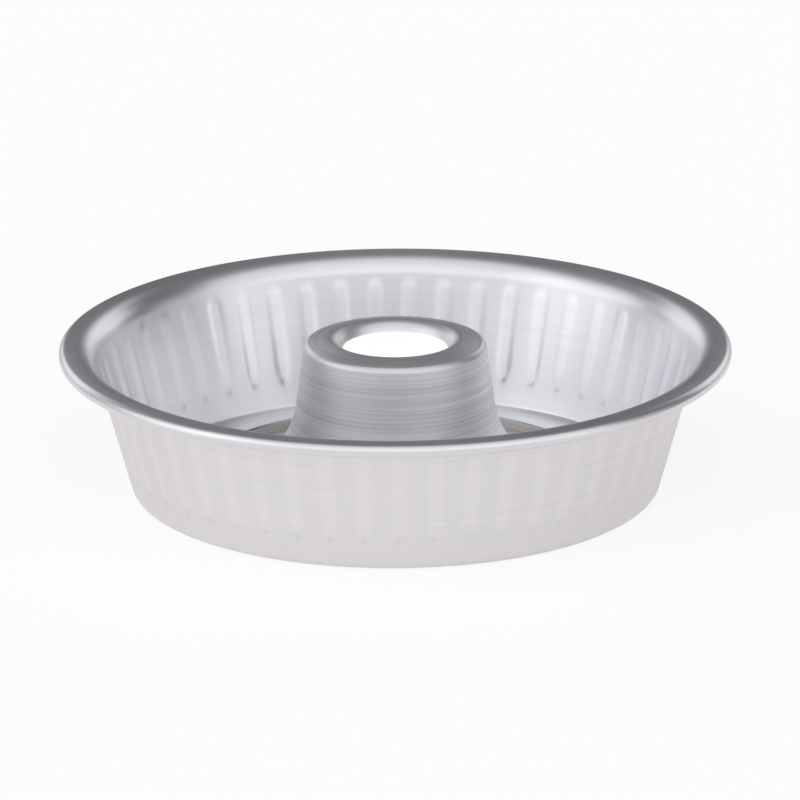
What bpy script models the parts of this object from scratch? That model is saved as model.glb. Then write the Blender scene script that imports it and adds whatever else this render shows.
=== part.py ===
"""Fluted ring cake mould with a loose base, in spun and pressed aluminium.

Four pieces. The pan ring is one pressed sheet: an inward ledge at its foot, a
leaning fluted wall, a flared flange and an edge curled round a steel wire. The
loose base is a plate that rests on the ledge and a centre tube set in its recess.

Metres, +Z up. The origin is on the axis, on the surface the mould stands on.
The camera side of the mould is -Y.
"""

import math

import bmesh
import bpy

# Pan ring
BASE_DIAMETER = 0.2192  # where the wall's outer face would meet the table
RIM_HEIGHT = 0.06245  # top of the flange above the table
WALL_LEAN = math.radians(15.4)  # from upright
SHEET = 0.0010
FOOT_RADIUS = 0.0045  # bend between ledge and wall, on the middle of the sheet
FOOT_WIDTH = 0.0038  # flat ring that the mould stands on
LEDGE_WIDTH = 0.0160  # sloping part of the ledge, inside the flat ring
LEDGE_RISE = 0.0038
FLARE_RADIUS = 0.0095  # bend between wall and flange, on the middle of the sheet
FLANGE_FLAT = 0.0039
CURL_SWEEP = math.radians(270)

# Flutes: narrow ribs, pressed inwards from the wall's outer face
FLUTE_COUNT = 51
FLUTE_DEPTH = 0.0005
PLAIN_BAND = 0.0074  # height between the foot's bend and the flutes
FLUTE_FOOT_FADE = 0.0016  # height over which a flute reaches its full depth
FLUTE_TOP_FADE = 0.0025
FLARE_BAND = 0.0003  # height between the flutes and the flare
RIB_SHARE = 0.08  # flat top of a rib, as a share of the pitch
FLANK_SHARE = 0.16
FLUTE_TURN = math.radians(-89.4)  # a rib stands at this angle

# Wire inside the curled edge
WIRE_DIAMETER = 0.0025
WIRE_CLEARANCE = 0.00045
BEAD_DIAMETER = WIRE_DIAMETER + 2 * (WIRE_CLEARANCE + SHEET)

# Base plate
PLATE_SHEET = 0.0010
FIT_GAP = 0.0003  # between pieces that rest on each other
EDGE_CLEARANCE = 0.0004  # plate edge to the bend at the foot of the wall
LIP_WIDTH = 0.0016
LIP_RISE = 0.0013
LOCATING_CLEARANCE = 0.0006  # collar to the ledge's inner edge
COLLAR_TAPER = 0.0012
COLLAR_BEND = 0.0009
RETURN_WIDTH = 0.0050  # inward flange under the tube's foot
TABLE_CLEARANCE = 0.0003  # underside of the return flange above the table

# Centre tube
TUBE_SHEET = 0.0010
TUBE_HEIGHT = 0.06455  # top of the lip above the table
TUBE_DIAMETER = 0.0750  # at the shoulder, where wall and lip would meet
SHOULDER_RADIUS = 0.0025
LIP_REACH = 0.0120  # from the shoulder inwards to the lip's crest
LIP_SLOPE = math.radians(11)
CREST_RADIUS = 0.0050
THROAT_REACH = 0.0034  # from the crest inwards to the edge of the throat
THROAT_SLOPE = math.radians(53)
TUBE_LEAN = math.radians(7.5)
SEAT_WIDTH = 0.0040  # flat edge of the tube's foot, on the return flange
BELL_HEIGHT = 0.0380  # where the straight wall ends and the bell-shaped foot starts
BELL_DROP = 0.0180  # length of the bell's upper handle
BELL_REACH = 0.0260  # length of the bell's lower handle
BELL_LIFT = 0.0022  # rise of the lower handle

# Facets
TURN_STEPS = 64
FOOT_STEPS = 3
FLARE_STEPS = 4
CURL_STEPS = 9
COLLAR_STEPS = 2
BELL_STEPS = 6
SHOULDER_STEPS = 3
CREST_STEPS = 4
WIRE_STEPS = 8
SHARP_ANGLE = math.radians(35)


def clear_scene():
    for obj in list(bpy.data.objects):
        bpy.data.objects.remove(obj, do_unlink=True)


def arc(centre, radius, start, end, steps):
    """Points on an arc, both ends included, as (radius from the axis, height)."""
    points = []
    for step in range(steps + 1):
        angle = start + (end - start) * step / steps
        x = centre[0] + radius * math.cos(angle)
        z = centre[1] + radius * math.sin(angle)
        points.append((x, z))
    return points


def rounded(before, corner, after, radius, steps):
    """The arc that rounds a corner between two straight runs."""
    angle_in = math.atan2(before[1] - corner[1], before[0] - corner[0])
    angle_out = math.atan2(after[1] - corner[1], after[0] - corner[0])
    opening = math.remainder(angle_out - angle_in, math.tau)
    reach = radius / abs(math.tan(opening / 2))
    to_centre = radius / abs(math.sin(opening / 2))
    middle = angle_in + opening / 2
    centre = (
        corner[0] + to_centre * math.cos(middle),
        corner[1] + to_centre * math.sin(middle),
    )
    first = (
        corner[0] + reach * math.cos(angle_in),
        corner[1] + reach * math.sin(angle_in),
    )
    start = math.atan2(first[1] - centre[1], first[0] - centre[0])
    turn = -math.copysign(math.pi - abs(opening), opening)
    return arc(centre, radius, start, start + turn, steps)


def bezier(points, steps):
    """Points along a cubic curve, without its first point."""
    curve = []
    for step in range(1, steps + 1):
        t = step / steps
        s = 1 - t
        weights = (s * s * s, 3 * s * s * t, 3 * s * t * t, t * t * t)
        x = sum(w * p[0] for w, p in zip(weights, points))
        z = sum(w * p[1] for w, p in zip(weights, points))
        curve.append((x, z))
    return curve


def wall_radius(height):
    """Middle of the wall's sheet, between the flutes."""
    middle_at_table = BASE_DIAMETER / 2 - SHEET / 2 / math.cos(WALL_LEAN)
    return middle_at_table + height * math.tan(WALL_LEAN)


def foot_bend():
    """Bend from the ledge up into the wall."""
    low = SHEET / 2
    corner = (wall_radius(low), low)
    up_the_wall = (wall_radius(RIM_HEIGHT), RIM_HEIGHT)
    return rounded((0, low), corner, up_the_wall, FOOT_RADIUS, FOOT_STEPS)


def flare_bend():
    """Bend from the wall out into the flange."""
    high = RIM_HEIGHT - SHEET / 2
    corner = (wall_radius(high), high)
    beyond = (corner[0] + BASE_DIAMETER, high)
    return rounded((wall_radius(0), 0), corner, beyond, FLARE_RADIUS, FLARE_STEPS)


def ledge():
    """Inner edge of the ledge, and where its slope meets the flat foot ring."""
    flat_inner = foot_bend()[0][0] - FOOT_WIDTH
    low = SHEET / 2
    return (flat_inner - LEDGE_WIDTH, low + LEDGE_RISE), (flat_inner, low)


def bead_centre():
    flat_start = flare_bend()[-1][0]
    return (flat_start + FLANGE_FLAT, RIM_HEIGHT - BEAD_DIAMETER / 2)


def curl():
    """The edge, turned outwards and under, round the wire."""
    top = math.pi / 2
    radius = BEAD_DIAMETER / 2 - SHEET / 2
    return arc(bead_centre(), radius, top, top - CURL_SWEEP, CURL_STEPS)


def inner_face_radius(height):
    """Inner face of the wall and of the bend at its foot."""
    bend_start, bend_end = foot_bend()[0], foot_bend()[-1]
    half_sheet = SHEET / 2
    if height > bend_end[1] + half_sheet * math.sin(WALL_LEAN):
        return wall_radius(height) - half_sheet / math.cos(WALL_LEAN)
    centre_height = bend_start[1] + FOOT_RADIUS
    face_radius = FOOT_RADIUS - half_sheet
    drop = centre_height - height
    return bend_start[0] + math.sqrt(face_radius ** 2 - drop ** 2)


def plain_ring(bm, point):
    """One round ring of vertices, as (angle, vertex)."""
    ring = []
    for step in range(TURN_STEPS):
        angle = math.tau * step / TURN_STEPS
        x = point[0] * math.cos(angle)
        y = point[0] * math.sin(angle)
        ring.append((angle, bm.verts.new((x, y, point[1]))))
    return ring


def fluted_ring(bm, height, depth):
    """A ring with four vertices to a flute: two on the rib, two on the crest."""
    pitch = math.tau / FLUTE_COUNT
    rib = RIB_SHARE / 2
    crest = rib + FLANK_SHARE
    corners = ((-rib, depth), (rib, depth), (crest, 0), (1 - crest, 0))
    ring = []
    for flute in range(FLUTE_COUNT):
        for share, inset in corners:
            angle = (flute + share) * pitch
            radius = wall_radius(height) - inset
            x = radius * math.cos(angle)
            y = radius * math.sin(angle)
            ring.append((angle, bm.verts.new((x, y, height))))
    return ring


def bridge(bm, lower, upper):
    """Faces between two rings that may differ in their number of vertices."""
    def angle(ring, index):
        return ring[index % len(ring)][0] + math.tau * (index // len(ring))

    def vertex(ring, index):
        return ring[index % len(ring)][1]

    same = 1e-6
    i = 0
    j = 0
    while i < len(lower) or j < len(upper):
        ahead = angle(lower, i + 1) - angle(upper, j + 1)
        step_low = ahead < same
        step_up = ahead > -same
        corners = [vertex(lower, i)]
        if step_low:
            corners.append(vertex(lower, i + 1))
        if step_up:
            corners.append(vertex(upper, j + 1))
        corners.append(vertex(upper, j))
        bm.faces.new(corners)
        i += step_low
        j += step_up


def metal(name, colour, roughness):
    material = bpy.data.materials.new(name)
    material.use_nodes = True
    shader = material.node_tree.nodes["Principled BSDF"]
    shader.inputs["Base Color"].default_value = (*colour, 1)
    shader.inputs["Metallic"].default_value = 1
    shader.inputs["Roughness"].default_value = roughness
    material.diffuse_color = (*colour, 1)
    return material


def add_object(name, bm, material, parent):
    mesh = bpy.data.meshes.new(name)
    bm.to_mesh(mesh)
    bm.free()
    mesh.shade_smooth()
    mesh.set_sharp_from_angle(angle=SHARP_ANGLE)
    obj = bpy.data.objects.new(name, mesh)
    bpy.context.scene.collection.objects.link(obj)
    obj.data.materials.append(material)
    obj.parent = parent
    return obj


def thicken(obj, thickness):
    """Gives a sheet its thickness, half of it on each side."""
    solid = obj.modifiers.new("sheet", "SOLIDIFY")
    solid.thickness = thickness
    solid.offset = 0
    solid.use_even_offset = True
    solid.use_quality_normals = True


def turned_sheet(name, outline, thickness, material, parent):
    """A round sheet piece from the middle line of its section."""
    bm = bmesh.new()
    rings = [plain_ring(bm, point) for point in outline]
    for lower, upper in zip(rings, rings[1:]):
        bridge(bm, lower, upper)
    obj = add_object(name, bm, material, parent)
    thicken(obj, thickness)


def pan_ring(material, parent):
    foot = [*ledge(), *foot_bend()]
    flange = [*flare_bend(), *curl()]
    flute_foot = foot[-1][1] + PLAIN_BAND
    flute_top = flange[0][1] - FLARE_BAND
    flutes = (
        (flute_foot, 0),
        (flute_foot + FLUTE_FOOT_FADE, FLUTE_DEPTH),
        (flute_top - FLUTE_TOP_FADE, FLUTE_DEPTH),
        (flute_top, 0),
    )
    bm = bmesh.new()
    rings = [plain_ring(bm, point) for point in foot]
    rings += [fluted_ring(bm, height, depth) for height, depth in flutes]
    rings += [plain_ring(bm, point) for point in flange]
    for lower, upper in zip(rings, rings[1:]):
        bridge(bm, lower, upper)
    obj = add_object("pan_ring", bm, material, parent)
    thicken(obj, SHEET)


def rim_wire(material, parent):
    """The hoop of wire that the rim is curled round."""
    radius, height = bead_centre()
    bpy.ops.mesh.primitive_torus_add(
        major_segments=TURN_STEPS,
        minor_segments=WIRE_STEPS,
        major_radius=radius,
        minor_radius=WIRE_DIAMETER / 2,
        location=(0, 0, height),
    )
    obj = bpy.context.object
    obj.name = "rim_wire"
    obj.data.shade_smooth()
    obj.data.materials.append(material)
    obj.parent = parent


def collar():
    """Corners at the top and the foot of the collar inside the ledge's edge."""
    ledge_edge, flat_inner = ledge()
    seat = SHEET + FIT_GAP + PLATE_SHEET / 2
    slope = LEDGE_RISE / LEDGE_WIDTH
    top = ledge_edge[0] - LOCATING_CLEARANCE - PLATE_SHEET / 2
    crest = (top, seat + (flat_inner[0] - top) * slope)
    foot = (top - COLLAR_TAPER, TABLE_CLEARANCE + PLATE_SHEET / 2)
    return crest, foot


def plate_outline():
    """Middle line of the base plate: lip, seat on the ledge, collar and return."""
    seat = SHEET + FIT_GAP + PLATE_SHEET / 2
    lip_tilt = math.atan2(LIP_RISE, LIP_WIDTH)
    under_lip = seat + LIP_RISE - PLATE_SHEET / 2 * math.cos(lip_tilt)
    edge_face = inner_face_radius(under_lip) - EDGE_CLEARANCE
    edge = edge_face - PLATE_SHEET / 2 * math.sin(lip_tilt)
    flat_inner = (ledge()[1][0], seat)
    crest, foot = collar()
    return_inner = (foot[0] - RETURN_WIDTH, foot[1])
    outline = [(edge, seat + LIP_RISE), (edge - LIP_WIDTH, seat), flat_inner]
    outline += rounded(flat_inner, crest, foot, COLLAR_BEND, COLLAR_STEPS)
    outline += rounded(crest, foot, return_inner, COLLAR_BEND, COLLAR_STEPS)
    outline.append(return_inner)
    return outline


def tube_lip():
    """Corners of the tube's rolled-in top: shoulder, crest and edge of the throat."""
    top = TUBE_HEIGHT - TUBE_SHEET / 2
    half_turn = (THROAT_SLOPE + LIP_SLOPE) / 2
    half_tilt = (THROAT_SLOPE - LIP_SLOPE) / 2
    over_top = CREST_RADIUS * (math.cos(half_tilt) / math.cos(half_turn) - 1)
    shoulder_radius = TUBE_DIAMETER / 2
    crest = (shoulder_radius - LIP_REACH, top + over_top)
    shoulder = (shoulder_radius, crest[1] - LIP_REACH * math.tan(LIP_SLOPE))
    throat = (crest[0] - THROAT_REACH, crest[1] - THROAT_REACH * math.tan(THROAT_SLOPE))
    return shoulder, crest, throat


def tube_outline():
    """Middle line of the centre tube, from its foot to the throat."""
    collar_top, collar_foot = collar()
    height = TABLE_CLEARANCE + PLATE_SHEET + FIT_GAP + TUBE_SHEET / 2
    taper = (collar_top[0] - collar_foot[0]) / (collar_top[1] - collar_foot[1])
    collar_face = collar_foot[0] + (height - collar_foot[1]) * taper - PLATE_SHEET / 2
    edge = (collar_face - FIT_GAP, height)
    seat = (edge[0] - SEAT_WIDTH, height)
    shoulder, crest, throat = tube_lip()
    bell_radius = shoulder[0] + (shoulder[1] - BELL_HEIGHT) * math.tan(TUBE_LEAN)
    bell_top = (bell_radius, BELL_HEIGHT)
    upper = (
        bell_top[0] + BELL_DROP * math.sin(TUBE_LEAN),
        bell_top[1] - BELL_DROP * math.cos(TUBE_LEAN),
    )
    lower = (seat[0] - BELL_REACH, seat[1] + BELL_LIFT)
    outline = [edge, seat, *bezier((seat, lower, upper, bell_top), BELL_STEPS)]
    outline += rounded(bell_top, shoulder, crest, SHOULDER_RADIUS, SHOULDER_STEPS)
    outline += rounded(shoulder, crest, throat, CREST_RADIUS, CREST_STEPS)
    outline.append(throat)
    return outline


def build():
    clear_scene()
    aluminium = metal("drawn_aluminium", (0.78, 0.78, 0.79), 0.30)
    spun = metal("spun_aluminium", (0.72, 0.73, 0.74), 0.34)
    steel = metal("wire_steel", (0.55, 0.56, 0.57), 0.38)

    pan = bpy.data.objects.new("pan", None)
    loose_base = bpy.data.objects.new("loose_base", None)
    for empty in (pan, loose_base):
        bpy.context.scene.collection.objects.link(empty)
    pan.rotation_euler[2] = FLUTE_TURN

    pan_ring(aluminium, pan)
    rim_wire(steel, pan)
    turned_sheet("base_plate", plate_outline(), PLATE_SHEET, aluminium, loose_base)
    turned_sheet("centre_tube", tube_outline(), TUBE_SHEET, spun, loose_base)


build()
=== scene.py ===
"""Fluted ring cake mould with a loose base: its finished surfaces and a small studio.

Metres, +Z up. The axis of the mould is Z, the table is at Z = 0 and the camera side is -Y.
"""

import math

import bpy
from bpy.props import FloatProperty, FloatVectorProperty, IntProperty, PointerProperty
from mathutils import Euler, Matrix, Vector


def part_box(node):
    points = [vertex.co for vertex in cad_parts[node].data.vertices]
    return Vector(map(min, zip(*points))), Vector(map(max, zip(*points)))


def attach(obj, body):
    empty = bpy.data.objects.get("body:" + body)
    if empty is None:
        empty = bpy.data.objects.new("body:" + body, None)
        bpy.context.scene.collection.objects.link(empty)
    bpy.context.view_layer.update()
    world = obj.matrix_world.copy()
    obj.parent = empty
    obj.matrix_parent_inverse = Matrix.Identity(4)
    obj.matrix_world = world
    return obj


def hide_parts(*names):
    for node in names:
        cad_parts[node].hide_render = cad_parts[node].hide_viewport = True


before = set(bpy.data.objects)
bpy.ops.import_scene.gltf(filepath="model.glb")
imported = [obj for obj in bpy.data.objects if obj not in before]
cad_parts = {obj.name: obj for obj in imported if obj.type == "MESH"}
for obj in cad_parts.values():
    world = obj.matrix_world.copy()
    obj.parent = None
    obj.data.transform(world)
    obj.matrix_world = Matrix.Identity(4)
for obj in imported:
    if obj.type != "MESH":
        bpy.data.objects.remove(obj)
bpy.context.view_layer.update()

bl_info = {
    "name": "Ring cake mould",
    "version": (1, 0, 0),
    "blender": (4, 5, 0),
    "location": "3D View > Sidebar > Ring mould",
    "description": "Builds the sheet metal, the finishes and the studio of a ring cake mould",
    "category": "Add Mesh",
}

RING_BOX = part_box("pan_ring")
PLATE_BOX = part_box("base_plate")
TUBE_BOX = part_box("centre_tube")

PAN_BODY = "pan"
BASE_BODY = "loose_base"

# Attributes that the meshes carry for their finishes
RUN = "run"  # metres along the sheet's section
EDGE = "edge"  # metres to the nearest cut edge of the sheet
LEVEL = "level"  # height of the middle of the sheet
FACE = "face"  # from 0 on one face of the sheet to 1 on the other, the inner one of wall and tube
PRESSED = "pressed"  # 1 on a rib, 0 on the plain wall and below 0 in the mark at a rib's foot; the metal paints sheen on the ribs and shade in the marks from it

# Rows and columns of the meshes
FOOT_STEPS = 6
FLARE_STEPS = 8
CURL_STEPS = 14
COLLAR_STEPS = 4
BELL_STEPS = 22
SHOULDER_STEPS = 8
CREST_STEPS = 12
CORNER_STEPS = 2
RIB_COLUMNS = 2
FLANK_COLUMNS = 4
LAND_COLUMNS = 2
MARK_ROWS = 6
FOOT_ROWS = 4
WALL_ROWS = 4
TOP_ROWS = 8
TURNED_COLUMNS = 288

WELD_DISTANCE = 0.00001  # joins the edges of neighbouring flutes
SHARP_ANGLE = math.radians(40)
BOX_SLACK = 0.00001  # keeps the finely turned rim inside the box of the faceted one


def length_setting(name, description, default, precision=4):
    return FloatProperty(
        name=name, description=description, default=default, unit="LENGTH", precision=precision)


def angle_setting(name, description, degrees):
    return FloatProperty(
        name=name, description=description, default=math.radians(degrees), unit="ROTATION")


def share_setting(name, description, default):
    return FloatProperty(name=name, description=description, default=default, subtype="FACTOR")


def colour_setting(name, description, default):
    return FloatVectorProperty(name=name, description=description, default=default, subtype="COLOR")


class MouldSizes(bpy.types.PropertyGroup):
    """Sizes of the sheet metal that the mould's outer box doesn't give."""

    sheet: length_setting("Sheet", "Thickness of all the sheet", 0.0010, 5)
    cut_round: length_setting("Cut edge", "Rounding of a cut edge", 0.00022, 5)
    base_diameter: length_setting(
        "Base diameter", "Outer face of the wall, carried down to the table", 0.2192)
    wall_lean: angle_setting("Wall lean", "Lean of the wall from upright", 15.4)
    foot_radius: length_setting("Foot bend", "Bend from the ledge up into the wall", 0.0045)
    foot_width: length_setting("Foot width", "Flat ring that the mould stands on", 0.0038)
    ledge_width: length_setting("Ledge width", "Sloping part of the ledge", 0.0160)
    ledge_rise: length_setting("Ledge rise", "Rise of the ledge towards its inner edge", 0.0038)
    flare_radius: length_setting("Flare", "Bend from the wall out into the flange", 0.0095)
    bead_diameter: length_setting("Bead", "Rolled edge, over the sheet", 0.0054)
    curl_sweep: angle_setting("Curl", "Angle that the edge is rolled through", 270)
    fit_gap: length_setting("Fit", "Gap between pieces that rest on each other", 0.0003, 5)
    lip_width: length_setting("Lip width", "Upturned edge of the base plate", 0.0016)
    lip_rise: length_setting("Lip rise", "Rise of the base plate's edge", 0.0013)
    locating_clearance: length_setting(
        "Locating clearance", "Collar to the ledge's inner edge", 0.0006, 5)
    collar_taper: length_setting("Collar taper", "Inward lean of the collar", 0.0012)
    collar_bend: length_setting("Collar bend", "Bends at the collar's top and foot", 0.0009)
    return_width: length_setting("Return", "Flange under the tube's foot", 0.0050)
    tube_diameter: length_setting(
        "Tube diameter", "At the shoulder, where wall and lip would meet", 0.0750)
    shoulder_radius: length_setting("Shoulder", "Bend from the tube's wall into its lip", 0.0025)
    lip_reach: length_setting("Tube lip", "From the shoulder inwards to the lip's crest", 0.0120)
    lip_slope: angle_setting("Lip slope", "Rise of the tube's lip towards its crest", 11)
    crest_radius: length_setting("Crest", "Bend from the lip down into the throat", 0.0050)
    throat_reach: length_setting(
        "Throat", "From the crest inwards to the edge of the throat", 0.0034)
    throat_slope: angle_setting("Throat slope", "Fall of the sheet into the throat", 53)
    tube_lean: angle_setting("Tube lean", "Lean of the tube's wall from upright", 7.5)
    seat_width: length_setting("Seat", "Flat edge of the tube's foot", 0.0040)
    bell_height: length_setting(
        "Bell height", "Height at which the bell-shaped foot starts", 0.0380)
    bell_drop: length_setting("Bell drop", "Length of the bell's upper handle", 0.0180)
    bell_reach: length_setting("Bell reach", "Length of the bell's lower handle", 0.0260)
    bell_lift: length_setting("Bell lift", "Rise of the bell's lower handle", 0.0022)


class FluteSizes(bpy.types.PropertyGroup):
    """The flutes that are pressed into the wall."""

    count: IntProperty(name="Flutes", description="Flutes round the mould", default=51, min=3)
    dimple: length_setting("Dimple", "Extra depth of the punch mark at a rib's foot", 0.00022, 5)
    dimple_radius: length_setting("Dimple radius", "Reach of the punch mark", 0.0024)
    depth: length_setting("Depth", "How far a rib stands inwards", 0.00026)
    rib_share: share_setting("Rib", "Flat top of a rib, as a share of the pitch", 0.20)
    flank_share: share_setting("Flank", "Slope beside a rib, as a share of the pitch", 0.20)
    plain_band: length_setting(
        "Plain band", "Height between the foot's bend and the flutes", 0.0074)
    foot_fade: length_setting("Foot fade", "Height over which a flute starts", 0.0090)
    top_fade: length_setting("Top fade", "Height over which a flute ends", 0.0050)
    flare_band: length_setting("Flare band", "Height between the flutes and the flare", 0.0003)
    end_round: length_setting(
        "End rounding", "How much lower a flute ends at its sides than in its middle", 0.0030)
    turn: angle_setting("Turn", "Angle at which a rib stands", -89.4)


class MouldFinish(bpy.types.PropertyGroup):
    """Colours and gloss of the metals."""

    pan_colour: colour_setting("Pan", "Drawn aluminium of the pan ring", (0.80, 0.80, 0.81))
    base_colour: colour_setting("Base", "Drawn aluminium of the base plate", (0.85, 0.85, 0.86))
    tube_colour: colour_setting("Tube", "Spun aluminium of the centre tube", (0.77, 0.77, 0.78))
    # Painted light: the inside of the tube is painted lighter than its outside, so that it looks brightly
    # lit.
    tube_inner_lit_colour: colour_setting(
        "Tube inside", "Bright rolled face inside the centre tube", (0.93, 0.93, 0.93))
    wire_colour: colour_setting("Wire", "Bright steel of the rim wire", (0.56, 0.57, 0.58))
    pan_roughness: share_setting(
        "Pan roughness", "Mean roughness of the pan ring and the base plate", 0.30)
    tube_roughness: share_setting("Tube roughness", "Mean roughness of the centre tube", 0.40)


class StudioSettings(bpy.types.PropertyGroup):
    """Camera and floor."""

    distance: length_setting("Distance", "Camera to its aim", 3.0, 3)
    elevation: angle_setting("Elevation", "Height of the view over the table", 17.727)
    roll: angle_setting("Roll", "Turn of the camera about its view", -0.302)
    view_width: length_setting(
        "View width", "Width that the picture shows at the mould", 0.33372, 5)
    aim: FloatVectorProperty(
        name="Aim", description="Point in the middle of the picture",
        default=(0.00187, 0.0, 0.03738), subtype="TRANSLATION", precision=5)
    floor_front: length_setting("Floor front", "Reach of the floor towards the camera", 0.42)
    floor_side: length_setting("Floor side", "Reach of the floor to each side", 1.4)
    floor_back: length_setting("Floor back", "Reach of the floor behind the mould", 1.6)


def place_on_arc(centre, radius, start, end, steps):
    """Points on an arc, both ends included, as (radius from the axis, height)."""
    points = []
    for step in range(steps + 1):
        angle = start + (end - start) * step / steps
        points.append((centre[0] + radius * math.cos(angle), centre[1] + radius * math.sin(angle)))
    return points


def rounded_corner(before, corner, after, radius, steps):
    """The arc that rounds a corner between two straight runs."""
    angle_in = math.atan2(before[1] - corner[1], before[0] - corner[0])
    angle_out = math.atan2(after[1] - corner[1], after[0] - corner[0])
    opening = math.remainder(angle_out - angle_in, math.tau)
    reach = radius / abs(math.tan(opening / 2))
    to_centre = radius / abs(math.sin(opening / 2))
    middle = angle_in + opening / 2
    centre = (corner[0] + to_centre * math.cos(middle), corner[1] + to_centre * math.sin(middle))
    first = (corner[0] + reach * math.cos(angle_in), corner[1] + reach * math.sin(angle_in))
    start = math.atan2(first[1] - centre[1], first[0] - centre[0])
    turn = -math.copysign(math.pi - abs(opening), opening)
    return place_on_arc(centre, radius, start, start + turn, steps)


def smooth_curve(points, steps):
    """Points along a cubic curve, without its first point."""
    curve = []
    for step in range(1, steps + 1):
        t = step / steps
        s = 1 - t
        weights = (s * s * s, 3 * s * s * t, 3 * s * t * t, t * t * t)
        curve.append(tuple(sum(w * p[axis] for w, p in zip(weights, points)) for axis in (0, 1)))
    return curve


def straight_rows(start, end, rows):
    """Points on a straight run after its start, its end included."""
    return [tuple(a + (b - a) * row / rows for a, b in zip(start, end)) for row in range(1, rows + 1)]


def sheet_section(middle, thickness, cut_round):
    """Closed section of a sheet from its middle line.

    Each point is (radius, height, run, edge, level, face).
    """
    runs = [0.0]
    for before, after in zip(middle, middle[1:]):
        runs.append(runs[-1] + math.dist(before, after))
    total = runs[-1]

    def direction(index):
        first = middle[max(index - 1, 0)]
        last = middle[min(index + 1, len(middle) - 1)]
        here = middle[index]
        steps = [Vector(here) - Vector(first), Vector(last) - Vector(here)]
        units = [step.normalized() for step in steps if step.length > 0]
        mean = sum(units, Vector((0, 0)))
        return mean.normalized(), units[0].dot(mean.normalized())

    def point(index, across, along=0.0):
        """A point off the middle line: across it, as shares of the half thickness, and along it."""
        heading, widen = direction(index)
        normal = Vector((-heading.y, heading.x))
        place = Vector(middle[index]) + normal * across / widen + heading * along
        to_edge = min(runs[index], total - runs[index])
        return (place.x, place.y, runs[index], to_edge, middle[index][1], 0.5 + across / thickness)

    half = thickness / 2
    last = len(middle) - 1
    corner = [math.pi / 2 * step / CORNER_STEPS for step in range(CORNER_STEPS + 1)]
    across = [half - cut_round + cut_round * math.cos(angle) for angle in corner]
    along = [-cut_round + cut_round * math.sin(angle) for angle in corner]
    loop = [point(index, -half) for index in range(1, last)]
    loop += [point(last, -a, b) for a, b in zip(across, along)]
    loop += [point(last, a, b) for a, b in zip(reversed(across), reversed(along))]
    loop += [point(index, half) for index in range(last - 1, 0, -1)]
    loop += [point(0, a, -b) for a, b in zip(across, along)]
    loop += [point(0, -a, -b) for a, b in zip(reversed(across), reversed(along))]
    area = sum(a[0] * b[1] - b[0] * a[1] for a, b in zip(loop, loop[1:] + loop[:1]))
    return loop if area > 0 else loop[::-1]


def turned_mesh(name, section, angles, closed=True):
    """Mesh of a section carried round the axis through the given angles."""
    size = len(section)
    verts = []
    values = {RUN: [], EDGE: [], LEVEL: [], FACE: []}
    for angle in angles:
        x, y = math.cos(angle), math.sin(angle)
        for radius, height, *carried in section:
            verts.append((radius * x, radius * y, height))
            for numbers, value in zip(values.values(), carried):
                numbers.append(value)
    faces = []
    spans = len(angles) if closed else len(angles) - 1
    for span in range(spans):
        here = span * size
        there = (span + 1) % len(angles) * size
        for index in range(size):
            after = (index + 1) % size
            faces.append((here + index, there + index, there + after, here + after))
    mesh = bpy.data.meshes.new(name)
    mesh.from_pydata(verts, [], faces)
    for key, numbers in values.items():
        mesh.attributes.new(key, "FLOAT", "POINT").data.foreach_set("value", numbers)
    return mesh


def finish_shading(mesh):
    """Smooth, with the cut edges of the sheet kept sharp."""
    mesh.shade_smooth()
    mesh.set_sharp_from_angle(angle=SHARP_ANGLE)


def new_object(name, mesh):
    obj = bpy.data.objects.new(name, mesh)
    bpy.context.scene.collection.objects.link(obj)
    return obj


def turned_piece(name, middle, sizes, material):
    """A round sheet piece, turned in one go."""
    section = sheet_section(middle, sizes.sheet, sizes.cut_round)
    angles = [math.tau * column / TURNED_COLUMNS for column in range(TURNED_COLUMNS)]
    mesh = turned_mesh(name, section, angles)
    mesh.materials.append(material)
    finish_shading(mesh)
    return new_object(name, mesh)


def wall_radius(sizes, height):
    """Middle of the wall's sheet, between the flutes."""
    at_table = sizes.base_diameter / 2 - sizes.sheet / 2 / math.cos(sizes.wall_lean)
    return at_table + height * math.tan(sizes.wall_lean)


def foot_bend(sizes):
    """Bend from the flat foot ring up into the wall."""
    low = sizes.sheet / 2
    corner = (wall_radius(sizes, low), low)
    top = RING_BOX[1].z
    return rounded_corner((0, low), corner, (wall_radius(sizes, top), top), sizes.foot_radius, FOOT_STEPS)


def flare_bend(sizes):
    """Bend from the wall out into the flange."""
    high = RING_BOX[1].z - sizes.sheet / 2
    corner = (wall_radius(sizes, high), high)
    beyond = (corner[0] + sizes.base_diameter, high)
    return rounded_corner((wall_radius(sizes, 0), 0), corner, beyond, sizes.flare_radius, FLARE_STEPS)


def ledge(sizes):
    """Inner edge of the ledge, and where its slope meets the flat foot ring."""
    low = sizes.sheet / 2
    flat_inner = foot_bend(sizes)[0][0] - sizes.foot_width
    return (flat_inner - sizes.ledge_width, low + sizes.ledge_rise), (flat_inner, low)


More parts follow.
